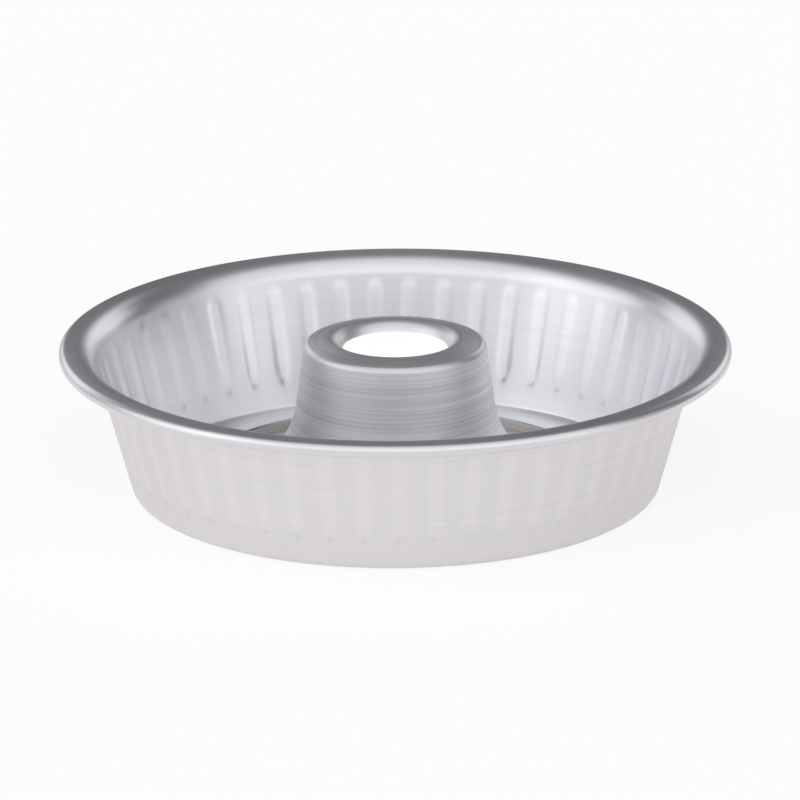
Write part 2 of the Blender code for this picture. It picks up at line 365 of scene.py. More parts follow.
def ring_middle(sizes, flutes):
    """Middle line of the pan ring, from the ledge's inner edge to the end of the curl."""
    foot = foot_bend(sizes)
    flare = flare_bend(sizes)
    foot_start, foot_end, top_start, top_end = flute_heights(sizes, flutes)

    def on_wall(height):
        return (wall_radius(sizes, height), height)

    heights = (
        (foot_start, 1),
        (foot_start + 2 * flutes.dimple_radius, MARK_ROWS),
        (foot_end + flutes.end_round, FOOT_ROWS),
        (top_start - flutes.end_round, WALL_ROWS),
        (top_end, TOP_ROWS),
    )
    wall = [foot[-1]]
    for height, rows in heights:
        wall += straight_rows(wall[-1], on_wall(height), rows)
    rim_radius = RING_BOX[1].x - BOX_SLACK
    bead = (rim_radius - sizes.bead_diameter / 2, RING_BOX[1].z - sizes.bead_diameter / 2)
    top = math.pi / 2
    curl_radius = sizes.bead_diameter / 2 - sizes.sheet / 2
    curl = place_on_arc(bead, curl_radius, top, top - sizes.curl_sweep, CURL_STEPS)
    return [*ledge(sizes), *foot, *wall[1:], *flare, *curl]


def flute_heights(sizes, flutes):
    """Heights at which the flutes start, are full, are full again and end."""
    foot = foot_bend(sizes)[-1][1] + flutes.plain_band
    top = flare_bend(sizes)[0][1] - flutes.flare_band
    return foot, foot + flutes.foot_fade, top - flutes.top_fade, top


def feed(tree, value, socket):
    """Links an output to a socket, or sets the socket to a plain value."""
    if isinstance(value, bpy.types.NodeSocket):
        tree.links.new(value, socket)
    else:
        socket.default_value = value


def add_node(tree, kind, **settings):
    node = tree.nodes.new(kind)
    for key, value in settings.items():
        setattr(node, key, value)
    return node


def calculate(tree, operation, *values):
    node = add_node(tree, "ShaderNodeMath", operation=operation)
    for value, socket in zip(values, node.inputs):
        feed(tree, value, socket)
    return node.outputs[0]


def ramp(tree, value, low, high, from_value=0.0, to_value=1.0, smooth=True):
    """A value that goes from one number to another as another value goes from low to high."""
    course = "SMOOTHSTEP" if smooth else "LINEAR"
    node = add_node(tree, "ShaderNodeMapRange", interpolation_type=course)
    for name, number in (
        ("Value", value), ("From Min", low), ("From Max", high),
        ("To Min", from_value), ("To Max", to_value),
    ):
        feed(tree, number, node.inputs[name])
    return node.outputs["Result"]


def add_sockets(tree, in_out, sockets):
    """Makes named sockets on a tree, each with its kind and its default."""
    for name, kind, default in sockets:
        socket = tree.interface.new_socket(name=name, in_out=in_out, socket_type="NodeSocket" + kind)
        if default is not None:
            socket.default_value = default


PRESS_SIZES = (
    "Depth", "Dimple", "Dimple radius", "Rib share", "Flank share", "Foot start", "Foot fade",
    "Top end", "Top fade", "End rounding", "Turn",
)
MARK_SHADE = -2.0  # what the punch mark adds to PRESSED in its middle; the metal paints it as shade, darker in the mark


def flute_press_tree():
    """Presses one flute into a narrow blank, sets copies of it round the axis and welds them."""
    tree = bpy.data.node_groups.new("flute_press", "GeometryNodeTree")
    add_sockets(tree, "INPUT", (
        ("Blank", "Geometry", None), ("Flutes", "Int", None),
        *((name, "Float", None) for name in PRESS_SIZES),
        ("Weld", "Float", WELD_DISTANCE), ("Finish", "Material", None),
    ))
    add_sockets(tree, "OUTPUT", (("Wall", "Geometry", None),))
    given = add_node(tree, "NodeGroupInput").outputs
    result = add_node(tree, "NodeGroupOutput").inputs

    split = add_node(tree, "ShaderNodeSeparateXYZ")
    position = add_node(tree, "GeometryNodeInputPosition").outputs[0]
    feed(tree, position, split.inputs[0])
    level = add_node(tree, "GeometryNodeInputNamedAttribute", data_type="FLOAT")
    level.inputs["Name"].default_value = LEVEL
    level = level.outputs["Attribute"]

    pitch = calculate(tree, "DIVIDE", math.tau, given["Flutes"])
    angle = calculate(tree, "ARCTAN2", split.outputs["Y"], split.outputs["X"])
    share = calculate(tree, "ABSOLUTE", calculate(tree, "DIVIDE", angle, pitch))
    rib = calculate(tree, "MULTIPLY", given["Rib share"], 0.5)
    flank_end = calculate(tree, "ADD", rib, given["Flank share"])
    across = ramp(tree, share, rib, flank_end, 1.0, 0.0)
    sideways = calculate(tree, "DIVIDE", share, flank_end)
    squared = calculate(tree, "MULTIPLY", sideways, sideways)
    rounding = calculate(tree, "MULTIPLY", squared, given["End rounding"])

    foot_start = calculate(tree, "ADD", given["Foot start"], rounding)
    foot_full = calculate(tree, "ADD", foot_start, given["Foot fade"])
    foot = ramp(tree, level, foot_start, foot_full)
    top_end = calculate(tree, "SUBTRACT", given["Top end"], rounding)
    top_full = calculate(tree, "SUBTRACT", top_end, given["Top fade"])
    top = ramp(tree, level, top_full, top_end, 1.0, 0.0)
    pressed = calculate(tree, "MULTIPLY", calculate(tree, "MULTIPLY", across, foot), top)

    outwards = add_node(tree, "ShaderNodeVectorMath", operation="NORMALIZE")
    flat = add_node(tree, "ShaderNodeCombineXYZ")
    feed(tree, split.outputs["X"], flat.inputs["X"])
    feed(tree, split.outputs["Y"], flat.inputs["Y"])
    feed(tree, flat.outputs[0], outwards.inputs[0])
    inset = add_node(tree, "ShaderNodeVectorMath", operation="SCALE")
    feed(tree, outwards.outputs[0], inset.inputs[0])
    aside = calculate(tree, "MULTIPLY", angle, split.outputs["X"])
    mark_level = calculate(tree, "ADD", given["Foot start"], given["Dimple radius"])
    below = calculate(tree, "SUBTRACT", level, mark_level)
    from_mark = calculate(tree, "SQRT", calculate(
        tree, "MULTIPLY_ADD", aside, aside, calculate(tree, "MULTIPLY", below, below)))
    mark = ramp(tree, from_mark, 0.0, given["Dimple radius"], 1.0, 0.0)
    dimple = calculate(tree, "MULTIPLY", mark, given["Dimple"])
    reach = calculate(tree, "MULTIPLY_ADD", pressed, given["Depth"], dimple)
    feed(tree, calculate(tree, "MULTIPLY", reach, -1.0), inset.inputs["Scale"])

    keep = add_node(tree, "GeometryNodeStoreNamedAttribute", data_type="FLOAT", domain="POINT")
    keep.inputs["Name"].default_value = PRESSED
    feed(tree, given["Blank"], keep.inputs["Geometry"])
    # The punch mark lowers the stored value, which the metal paints as shade.
    feed(tree, calculate(tree, "MULTIPLY_ADD", mark, MARK_SHADE, pressed), keep.inputs["Value"])
    press = add_node(tree, "GeometryNodeSetPosition")
    feed(tree, keep.outputs[0], press.inputs["Geometry"])
    feed(tree, inset.outputs[0], press.inputs["Offset"])

    stations = add_node(tree, "GeometryNodeMeshLine", mode="OFFSET")
    feed(tree, given["Flutes"], stations.inputs["Count"])
    stations.inputs["Offset"].default_value = (0, 0, 0)
    index = add_node(tree, "GeometryNodeInputIndex").outputs[0]
    turned = calculate(tree, "ADD", calculate(tree, "MULTIPLY", index, pitch), given["Turn"])
    heading = add_node(tree, "ShaderNodeCombineXYZ")
    feed(tree, turned, heading.inputs["Z"])
    copies = add_node(tree, "GeometryNodeInstanceOnPoints")
    feed(tree, stations.outputs["Mesh"], copies.inputs["Points"])
    feed(tree, press.outputs[0], copies.inputs["Instance"])
    feed(tree, heading.outputs[0], copies.inputs["Rotation"])

    realize = add_node(tree, "GeometryNodeRealizeInstances")
    feed(tree, copies.outputs[0], realize.inputs[0])
    weld = add_node(tree, "GeometryNodeMergeByDistance")
    feed(tree, realize.outputs[0], weld.inputs["Geometry"])
    feed(tree, given["Weld"], weld.inputs["Distance"])
    coat = add_node(tree, "GeometryNodeSetMaterial")
    feed(tree, weld.outputs[0], coat.inputs["Geometry"])
    feed(tree, given["Finish"], coat.inputs["Material"])
    feed(tree, coat.outputs[0], result["Wall"])
    return tree


def press_flutes(obj, values):
    """Runs the flute press on a blank and turns the result into a plain mesh."""
    modifier = obj.modifiers.new("flute_press", "NODES")
    tree = flute_press_tree()
    modifier.node_group = tree
    for item in tree.interface.items_tree:
        if item.in_out == "INPUT" and item.name in values:
            modifier[item.identifier] = values[item.name]
    bpy.context.view_layer.update()
    evaluated = obj.evaluated_get(bpy.context.evaluated_depsgraph_get())
    mesh = bpy.data.meshes.new_from_object(evaluated)
    obj.modifiers.remove(modifier)
    blank = obj.data
    obj.data = mesh
    bpy.data.meshes.remove(blank)
    mesh.name = obj.name


def sector_angles(flutes):
    """Angles of the columns of one flute, closer together on its flanks."""
    rib = flutes.rib_share / 2
    flank_end = rib + flutes.flank_share
    half = [rib * step / RIB_COLUMNS for step in range(RIB_COLUMNS)]
    half += [rib + flutes.flank_share * step / FLANK_COLUMNS for step in range(FLANK_COLUMNS)]
    half += [flank_end + (0.5 - flank_end) * step / LAND_COLUMNS for step in range(LAND_COLUMNS + 1)]
    shares = [-share for share in reversed(half[1:])] + half
    return [share * math.tau / flutes.count for share in shares]


def build_pan_ring(sizes, flutes, finish):
    section = sheet_section(ring_middle(sizes, flutes), sizes.sheet, sizes.cut_round)
    blank = turned_mesh("pan_wall", section, sector_angles(flutes), closed=False)
    ring = new_object("pan_wall", blank)
    foot_start, foot_full, top_full, top_end = flute_heights(sizes, flutes)
    material = drawn_aluminium("pan_drawn_aluminium", finish.pan_colour, finish.pan_roughness)
    press_flutes(ring, {
        "Flutes": flutes.count, "Depth": flutes.depth,
        "Dimple": flutes.dimple, "Dimple radius": flutes.dimple_radius,
        "Rib share": flutes.rib_share, "Flank share": flutes.flank_share,
        "Foot start": foot_start, "Foot fade": foot_full - foot_start,
        "Top end": top_end, "Top fade": top_end - top_full,
        "End rounding": flutes.end_round, "Turn": flutes.turn, "Finish": material,
    })
    finish_shading(ring.data)
    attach(ring, PAN_BODY)
    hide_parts("pan_ring")


def collar_corners(sizes):
    """Corners at the top and the foot of the collar inside the ledge's edge."""
    edge, flat_inner = ledge(sizes)
    half = sizes.sheet / 2
    seat = sizes.sheet + sizes.fit_gap + half
    top = edge[0] - sizes.locating_clearance - half
    crest = (top, seat + (flat_inner[0] - top) * sizes.ledge_rise / sizes.ledge_width)
    return crest, (top - sizes.collar_taper, PLATE_BOX[0].z + half)


def build_base_plate(sizes, finish):
    half = sizes.sheet / 2
    lip_tilt = math.atan2(sizes.lip_rise, sizes.lip_width)
    edge = PLATE_BOX[1].x - half * math.sin(lip_tilt) - BOX_SLACK
    seat = sizes.sheet + sizes.fit_gap + half
    flat_inner = (ledge(sizes)[1][0], seat)
    crest, foot = collar_corners(sizes)
    inner = (foot[0] - sizes.return_width, foot[1])
    middle = [(edge, seat + sizes.lip_rise), (edge - sizes.lip_width, seat), flat_inner]
    middle += rounded_corner(flat_inner, crest, foot, sizes.collar_bend, COLLAR_STEPS)
    middle += rounded_corner(crest, foot, inner, sizes.collar_bend, COLLAR_STEPS)
    middle.append(inner)
    # The plate is painted darker inside its collar: painted shade in the corner under the tube's foot.
    material = drawn_aluminium(
        "base_drawn_aluminium", finish.base_colour, finish.pan_roughness, corner_shade_radius=crest[0] - half)
    plate = turned_piece("loose_plate", middle, sizes, material)
    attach(plate, BASE_BODY)
    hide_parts("base_plate")


def tube_lip(sizes):
    """Corners of the tube's rolled-in top: shoulder, crest and edge of the throat."""
    top = TUBE_BOX[1].z - BOX_SLACK - sizes.sheet / 2
    half_turn = (sizes.throat_slope + sizes.lip_slope) / 2
    half_tilt = (sizes.throat_slope - sizes.lip_slope) / 2
    over_top = sizes.crest_radius * (math.cos(half_tilt) / math.cos(half_turn) - 1)
    shoulder_radius = sizes.tube_diameter / 2
    crest = (shoulder_radius - sizes.lip_reach, top + over_top)
    shoulder = (shoulder_radius, crest[1] - sizes.lip_reach * math.tan(sizes.lip_slope))
    throat = (crest[0] - sizes.throat_reach, crest[1] - sizes.throat_reach * math.tan(sizes.throat_slope))
    return shoulder, crest, throat


def build_centre_tube(sizes, finish):
    half = sizes.sheet / 2
    shoulder, crest, throat = tube_lip(sizes)
    edge = (TUBE_BOX[1].x, TUBE_BOX[0].z + half)
    seat = (edge[0] - sizes.seat_width, edge[1])
    bell_radius = shoulder[0] + (shoulder[1] - sizes.bell_height) * math.tan(sizes.tube_lean)
    bell_top = (bell_radius, sizes.bell_height)
    upper = (
        bell_top[0] + sizes.bell_drop * math.sin(sizes.tube_lean),
        bell_top[1] - sizes.bell_drop * math.cos(sizes.tube_lean),
    )
    lower = (seat[0] - sizes.bell_reach, seat[1] + sizes.bell_lift)
    bell = smooth_curve((seat, lower, upper, bell_top), BELL_STEPS)
    bend = rounded_corner(bell_top, shoulder, crest, sizes.shoulder_radius, SHOULDER_STEPS)
    wall = straight_rows(bell[-1], bend[0], WALL_ROWS)
    over = rounded_corner(shoulder, crest, throat, sizes.crest_radius, CREST_STEPS)
    middle = [edge, seat, *bell, *wall, *bend[1:], *over, throat]
    material = spun_aluminium(
        "tube_spun_aluminium", finish.tube_colour, finish.tube_inner_lit_colour, finish.tube_roughness)
    tube = turned_piece("spun_tube", middle, sizes, material)
    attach(tube, BASE_BODY)
    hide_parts("centre_tube")


def shared_group(name, inputs, outputs, fill):
    """A shader node group of plain numbers, built once."""
    tree = bpy.data.node_groups.get(name)
    if tree is None:
        tree = bpy.data.node_groups.new(name, "ShaderNodeTree")
        add_sockets(tree, "INPUT", [(key, "Float", None) for key in inputs])
        add_sockets(tree, "OUTPUT", [(key, "Float", None) for key in outputs])
        fill(tree, add_node(tree, "NodeGroupInput").outputs, add_node(tree, "NodeGroupOutput").inputs)
    return tree


def place_group(tree, group, **values):
    """Puts a group in a tree and sets its inputs; an underscore stands for a space in a name."""
    node = add_node(tree, "ShaderNodeGroup", node_tree=group)
    for name, value in values.items():
        feed(tree, value, node.inputs[name.replace("_", " ")])
    return node.outputs


def attribute(tree, name):
    return add_node(tree, "ShaderNodeAttribute", attribute_name=name).outputs["Fac"]


def noise(tree, vector, scale, detail, roughness=0.5):
    node = add_node(tree, "ShaderNodeTexNoise")
    feed(tree, vector, node.inputs["Vector"])
    feed(tree, scale, node.inputs["Scale"])
    node.inputs["Detail"].default_value = detail
    node.inputs["Roughness"].default_value = roughness
    return node.outputs["Fac"]


def fill_turning_lines(tree, given, result):
    """Fine lines that run round the axis, each a little uneven along its length."""
    place = add_node(tree, "ShaderNodeSeparateXYZ")
    coordinates = add_node(tree, "ShaderNodeTexCoord")
    feed(tree, coordinates.outputs["Object"], place.inputs[0])
    for name, coarser, detail in (("Fine", 1.0, 3.0), ("Broad", 9.0, 2.0)):
        lines = add_node(tree, "ShaderNodeCombineXYZ")
        feed(tree, calculate(tree, "MULTIPLY", place.outputs["X"], given["Sweep"]), lines.inputs["X"])
        feed(tree, calculate(tree, "MULTIPLY", place.outputs["Y"], given["Sweep"]), lines.inputs["Y"])
        across = calculate(tree, "DIVIDE", given["Lines"], coarser)
        feed(tree, calculate(tree, "MULTIPLY", attribute(tree, RUN), across), lines.inputs["Z"])
        feed(tree, noise(tree, lines.outputs[0], 1.0, detail), result[name])


def turning_lines():
    return shared_group("turning_lines", ("Lines", "Sweep"), ("Fine", "Broad"), fill_turning_lines)


# Each family of scratches: how it is turned, and how much finer its noise is across a scratch
SCRATCH_GRAINS = (((0.5, 0.85, 0.5), 14.0), ((-0.9, -1.53, -0.9), 11.0))
HAIR_WIDTH = 0.004  # how far the noise is from its middle at the edge of a scratch
SCRATCHED_SCALE = 31.0  # scale of the noise that picks the places with scratches
SCRATCHED_RANGE = (0.56, 0.64)  # from no scratches to all of them, in that noise


def fill_handling_marks(tree, given, result):
    """Faint clouded patches and a few hairline scratches."""
    coordinates = add_node(tree, "ShaderNodeTexCoord").outputs["Object"]
    clouds = noise(tree, coordinates, given["Cloud scale"], 3.0, 0.55)
    feed(tree, clouds, result["Cloud"])
    total = 0.0
    for turns, stretch in SCRATCH_GRAINS:
        grain = add_node(tree, "ShaderNodeMapping")
        feed(tree, coordinates, grain.inputs["Vector"])
        grain.inputs["Rotation"].default_value = turns
        grain.inputs["Scale"].default_value = (1.0, stretch, stretch)
        field = noise(tree, grain.outputs[0], given["Scratch scale"], 1.0)
        off_line = calculate(tree, "ABSOLUTE", calculate(tree, "SUBTRACT", field, 0.5))
        hair = ramp(tree, off_line, 0.0, HAIR_WIDTH, 1.0, 0.0)
        total = calculate(tree, "ADD", hair, total)
    sparse = ramp(tree, noise(tree, coordinates, SCRATCHED_SCALE, 1.0), *SCRATCHED_RANGE)
    feed(tree, calculate(tree, "MULTIPLY", total, sparse), result["Scratch"])


def handling_marks():
    return shared_group(
        "handling_marks", ("Cloud scale", "Scratch scale"), ("Cloud", "Scratch"), fill_handling_marks)


OUTER_SHEEN_AND_SHADE = 0.5  # painted sheen on the outer face of a rib and painted shade in its punch mark, against 1 on the inner face


def fill_wear_sheen_and_shade(tree, given, result):
    """Brightening: rubbed cut edges and painted sheen on ribs; below 0, painted shade in punch marks."""
    cut = ramp(tree, attribute(tree, EDGE), 0.0, given["Reach"], 1.0, 0.0)
    by_face = calculate(tree, "MULTIPLY_ADD", attribute(tree, FACE), 1 - OUTER_SHEEN_AND_SHADE, OUTER_SHEEN_AND_SHADE)
    rib = calculate(tree, "MULTIPLY", attribute(tree, PRESSED), by_face)
    wear_sheen_shade = calculate(tree, "MULTIPLY_ADD", rib, given["Rib"], cut)
    feed(tree, calculate(tree, "MINIMUM", wear_sheen_shade, 1.0), result["Wear and painted light"])


def wear_sheen_and_shade():
    return shared_group("wear_sheen_and_shade", ("Reach", "Rib"), ("Wear and painted light",), fill_wear_sheen_and_shade)


CORNER_SHADE_TINT = (0.46, 0.42, 0.40, 1)  # painted shade: what the darkening in the corner round the tube's foot takes off the colour
CORNER_SHADE_FADE = 0.0006  # width of the painted shade's soft edge
LINE_SWEEP = 7.0  # how uneven a turning line is along its length
CLOUD_SCALE = 22.0
SCRATCH_SCALE = 9.0
CUT_REACH = 0.0012  # how far from a cut edge the sheet is rubbed
RIB_SHEEN_AND_SHADE = 1.0  # painted sheen on a rib and painted shade in its punch mark, against 1 at a rubbed cut edge
WEAR_AND_PAINTED_LIGHT_GAIN = 0.07  # how much a rubbed cut edge and a rib's painted sheen brighten the colour, and a mark's painted shade darkens it
# Weights of lines, marks and wear in a metal's tone, in its roughness and in its relief
TONE_WEIGHTS = {"Broad": 0.2, "Fine": 0.6, "Cloud": 0.2}
TONE_RANGE = (0.3, 0.7)  # span of the weighed tone that carries its contrast
ROUGH_WEIGHTS = {"Broad": 0.08, "Cloud": 0.08, "Wear and painted light": -0.01, "Scratch": 0.10}
ROUGH_START = -0.05  # added to the mean roughness before the weights
RELIEF_WEIGHTS = {"Broad": 2.0, "Scratch": -0.3}
QUARTER_TURN = 0.25  # draws a highlight out across the turning lines, not along them


def painted_corner_shade(tree, colour, radius):
    """The colour darker and browner within a radius of the axis: painted shade under the tube's foot."""
    place = add_node(tree, "ShaderNodeVectorMath", operation="MULTIPLY")
    feed(tree, add_node(tree, "ShaderNodeTexCoord").outputs["Object"], place.inputs[0])
    place.inputs[1].default_value = (1, 1, 0)
    from_axis = add_node(tree, "ShaderNodeVectorMath", operation="LENGTH")
    feed(tree, place.outputs[0], from_axis.inputs[0])
    shaded = add_node(tree, "ShaderNodeMix", data_type="RGBA", blend_type="MULTIPLY")
    within = ramp(tree, from_axis.outputs["Value"], radius, radius + CORNER_SHADE_FADE, 1.0, 0.0)
    feed(tree, within, shaded.inputs["Factor"])
    feed(tree, colour, shaded.inputs["A"])
    feed(tree, CORNER_SHADE_TINT, shaded.inputs["B"])
    return shaded.outputs["Result"]


def weighed(tree, total, values, weights):
    """A start plus each of the named values times its weight."""
    for name, weight in weights.items():
        total = calculate(tree, "MULTIPLY_ADD", values[name], weight, total)
    return total


def around_axis(tree):
    """The direction in which the turning lines run, from the place on the piece."""
    place = add_node(tree, "ShaderNodeSeparateXYZ")
    feed(tree, add_node(tree, "ShaderNodeTexCoord").outputs["Object"], place.inputs[0])
    around = add_node(tree, "ShaderNodeCombineXYZ")
    feed(tree, calculate(tree, "MULTIPLY", place.outputs["Y"], -1.0), around.inputs["X"])
    feed(tree, place.outputs["X"], around.inputs["Y"])
    return around.outputs[0]


def sheet_metal(
    name, colour, inner_colour_and_light, roughness, lines, line_depth, line_contrast, stretch, corner_shade_radius=0.0
):
    """A bare metal that shows how it was turned and handled.

    lines is how many fine lines a metre of the sheet has, roughly, and stretch how far they draw
    a highlight out across themselves.
    """
    material = bpy.data.materials.new(name)
    material.use_nodes = True
    tree = material.node_tree
    shader = tree.nodes["Principled BSDF"]
    shader.inputs["Metallic"].default_value = 1.0
    groups = (
        place_group(tree, turning_lines(), Lines=lines, Sweep=LINE_SWEEP),
        place_group(tree, handling_marks(), Cloud_scale=CLOUD_SCALE, Scratch_scale=SCRATCH_SCALE),
        place_group(tree, wear_sheen_and_shade(), Reach=CUT_REACH, Rib=RIB_SHEEN_AND_SHADE),
    )
    shown = {output.name: output for outputs in groups for output in outputs}

    # The inner face takes its own colour; on the tube it is painted lighter, as painted light.
    sides = add_node(tree, "ShaderNodeMix", data_type="RGBA", blend_type="MIX")
    feed(tree, attribute(tree, FACE), sides.inputs["Factor"])
    feed(tree, (*colour, 1), sides.inputs["A"])
    feed(tree, (*inner_colour_and_light, 1), sides.inputs["B"])
    mixed = weighed(tree, 0.0, shown, TONE_WEIGHTS)
    shade = ramp(tree, mixed, *TONE_RANGE, 1 - line_contrast, 1 + line_contrast, smooth=False)
    tone = add_node(tree, "ShaderNodeVectorMath", operation="SCALE")
    feed(tree, sides.outputs["Result"], tone.inputs[0])
    # Rubbed cut edges and the painted sheen of the ribs make the colour brighter, the painted shade of
    # the punch marks darker.
    tone_with_painted_light = calculate(tree, "MULTIPLY_ADD", shown["Wear and painted light"], WEAR_AND_PAINTED_LIGHT_GAIN, shade)
    feed(tree, tone_with_painted_light, tone.inputs["Scale"])
    # Painted shade darkens and browns the colour within the given radius of the axis.
    feed(tree, painted_corner_shade(tree, tone.outputs[0], corner_shade_radius), shader.inputs["Base Color"])

    rough = weighed(tree, roughness + ROUGH_START, shown, ROUGH_WEIGHTS)
    feed(tree, rough, shader.inputs["Roughness"])

    bump = add_node(tree, "ShaderNodeBump")
    bump.inputs["Strength"].default_value = 1.0
    bump.inputs["Distance"].default_value = line_depth
    feed(tree, weighed(tree, shown["Fine"], shown, RELIEF_WEIGHTS), bump.inputs["Height"])
    feed(tree, bump.outputs[0], shader.inputs["Normal"])
    feed(tree, around_axis(tree), shader.inputs["Tangent"])
    shader.inputs["Anisotropic"].default_value = stretch
    shader.inputs["Anisotropic Rotation"].default_value = QUARTER_TURN
    return material


def drawn_aluminium(name, colour, roughness, corner_shade_radius=0.0):
    return sheet_metal(
        name, colour, colour, roughness, lines=900.0, line_depth=0.000004, line_contrast=0.035,
        stretch=0.70, corner_shade_radius=corner_shade_radius)


def spun_aluminium(name, colour, inner_colour_and_light, roughness):
    return sheet_metal(
        name, colour, inner_colour_and_light, roughness, lines=1100.0, line_depth=0.000015, line_contrast=0.20,
        stretch=0.35)


WIRE_CLOUD_SCALE = 90.0
WIRE_SCRATCH_SCALE = 30.0
WIRE_DARKEST = 0.85  # share of the wire's colour that is left in its darker clouds
WIRE_ROUGHNESS = 0.28
WIRE_CLOUDING = 0.2  # how much rougher the wire is in its lighter clouds


def build_rim_wire(finish):
    """The wire inside the curled edge keeps its own solid and gets its finish."""
    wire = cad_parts["rim_wire"]
    material = bpy.data.materials.new("wire_drawn_steel")
    material.use_nodes = True
    tree = material.node_tree
    shader = tree.nodes["Principled BSDF"]
    shader.inputs["Metallic"].default_value = 1.0
    marks = place_group(
        tree, handling_marks(), Cloud_scale=WIRE_CLOUD_SCALE, Scratch_scale=WIRE_SCRATCH_SCALE)
    tone = add_node(tree, "ShaderNodeMix", data_type="RGBA", blend_type="MIX")
    feed(tree, marks["Cloud"], tone.inputs["Factor"])
    feed(tree, (*[channel * WIRE_DARKEST for channel in finish.wire_colour], 1), tone.inputs["A"])
    feed(tree, (*finish.wire_colour, 1), tone.inputs["B"])
    feed(tree, tone.outputs["Result"], shader.inputs["Base Color"])
    rough = calculate(tree, "MULTIPLY_ADD", marks["Cloud"], WIRE_CLOUDING, WIRE_ROUGHNESS)
    feed(tree, rough, shader.inputs["Roughness"])
    wire.data.materials.clear()
    wire.data.materials.append(material)


def fill_soft_panel(tree, given, result):
    """Light from a panel with soft edges, by tilt over the mould and by side."""
    low = calculate(tree, "SUBTRACT", given["Low"], given["Feather"])
    high = calculate(tree, "ADD", given["High"], given["Feather"])
    left = calculate(tree, "SUBTRACT", given["Left"], given["Feather"])
    right = calculate(tree, "ADD", given["Right"], given["Feather"])
    light = ramp(tree, given["Tilt"], low, given["Low"])
    for value, start, end in (
        (given["Tilt"], given["High"], high), (given["Side"], given["Right"], right)
    ):
        light = calculate(tree, "MULTIPLY", light, ramp(tree, value, start, end, 1.0, 0.0))
    light = calculate(tree, "MULTIPLY", light, ramp(tree, given["Side"], left, given["Left"]))
    feed(tree, calculate(tree, "MULTIPLY", light, given["Level"]), result["Light"])


def soft_panel():
    inputs = ("Tilt", "Side", "Low", "High", "Left", "Right", "Feather", "Level")
    return shared_group("soft_panel", inputs, ("Light",), fill_soft_panel)


# Panels of the studio: name, lowest and highest tilt, left and right side and width of the soft
# edge, all in degrees, and brightness. Tilt is 0 towards the camera, 90 overhead and 180 behind the
# mould, and side is below 0 on the left.
PANELS = (
    ("room in front", -20, 20, -66, 66, 8, 0.74),
    ("front box", 24, 33, -66, 66, 8, 1.50),
    ("high box", 34, 62, -42, 42, 10, 1.02),
    ("left box", 32, 82, -68, -42, 10, 1.36),
    ("right box", 32, 82, 42, 68, 10, 0.92),
    ("ceiling", 62, 98, -42, 42, 10, 0.87),
    ("left of ceiling", 84, 122, -68, -42, 8, 0.92),
    ("left wall", -10, 142, -90, -62, 8, 1.25),
    ("right wall", 30, 142, 66, 90, 8, 0.50),
    ("right wall, low", -10, 22, 62, 90, 8, 0.95),
    ("back left pane", 146, 172, -46, -15, 6, 1.05),
    ("back right pane", 146, 172, 15, 46, 6, 0.95),
    ("back left", 124, 190, -68, -42, 8, 0.46),
)
ROOM_LEVEL = 0.14
ROOM_TINT = (1.07, 1.0, 1.08, 1)
LAMP_TINT = (0.99, 1.0, 1.045, 1)
FULL_LAMP = 0.8  # light above which nothing of the room's own tint is left


def build_world():
    world = bpy.data.worlds.new("studio")
    bpy.context.scene.world = world
    world.use_nodes = True
    tree = world.node_tree
    tree.nodes.clear()
    place = add_node(tree, "ShaderNodeSeparateXYZ")
    feed(tree, add_node(tree, "ShaderNodeTexCoord").outputs["Generated"], place.inputs[0])
    towards = calculate(tree, "MULTIPLY", place.outputs["Y"], -1.0)
    tilt = calculate(tree, "DEGREES", calculate(tree, "ARCTAN2", place.outputs["Z"], towards))
    side = calculate(tree, "DEGREES", calculate(tree, "ARCSINE", place.outputs["X"]))
    light = ROOM_LEVEL
    for _, low, high, left, right, feather, level in PANELS:
        panel = place_group(
            tree, soft_panel(), Tilt=tilt, Side=side, Low=low, High=high, Left=left, Right=right,
            Feather=feather, Level=level)
        light = calculate(tree, "MAXIMUM", panel["Light"], light)
    path = add_node(tree, "ShaderNodeLightPath")
    studio = add_node(tree, "ShaderNodeBackground")
    feed(tree, light, studio.inputs["Strength"])
    tint = add_node(tree, "ShaderNodeMix", data_type="RGBA", blend_type="MIX")
    feed(tree, ramp(tree, light, ROOM_LEVEL, FULL_LAMP), tint.inputs["Factor"])
    feed(tree, ROOM_TINT, tint.inputs["A"])
    feed(tree, LAMP_TINT, tint.inputs["B"])
    feed(tree, tint.outputs["Result"], studio.inputs["Color"])
    white = add_node(tree, "ShaderNodeBackground")
    seen = calculate(tree, "MAXIMUM", path.outputs["Is Camera Ray"], path.outputs["Is Transmission Ray"])
    mix = add_node(tree, "ShaderNodeMixShader")
    feed(tree, seen, mix.inputs[0])
    feed(tree, studio.outputs[0], mix.inputs[1])
    feed(tree, white.outputs[0], mix.inputs[2])
    white.inputs["Color"].default_value = (1, 1, 1, 1)
    output = add_node(tree, "ShaderNodeOutputWorld")
    feed(tree, mix.outputs[0], output.inputs["Surface"])


# Floor: glow and matt part, as the camera sees it and as the metal mirrors it
SEEN_GLOW = 0.83
MIRRORED_GLOW = 0.42
MIRRORED_GLOW_UNDER = 1.0  # under the mould, where only the tube's inside mirrors it
SEEN_MATT = (0.20, 0.20, 0.20, 1)
MATT = (0.615, 0.585, 0.575, 1)
MIRRORED_TINT = (1.03, 1.0, 0.98, 1)
UNDER_EDGE = 0.09  # radius within which the floor counts as under the mould
UNDER_FADE = 0.02  # width over which that ends
FLOOR_DROP = 0.0002  # keeps the floor clear of the foot


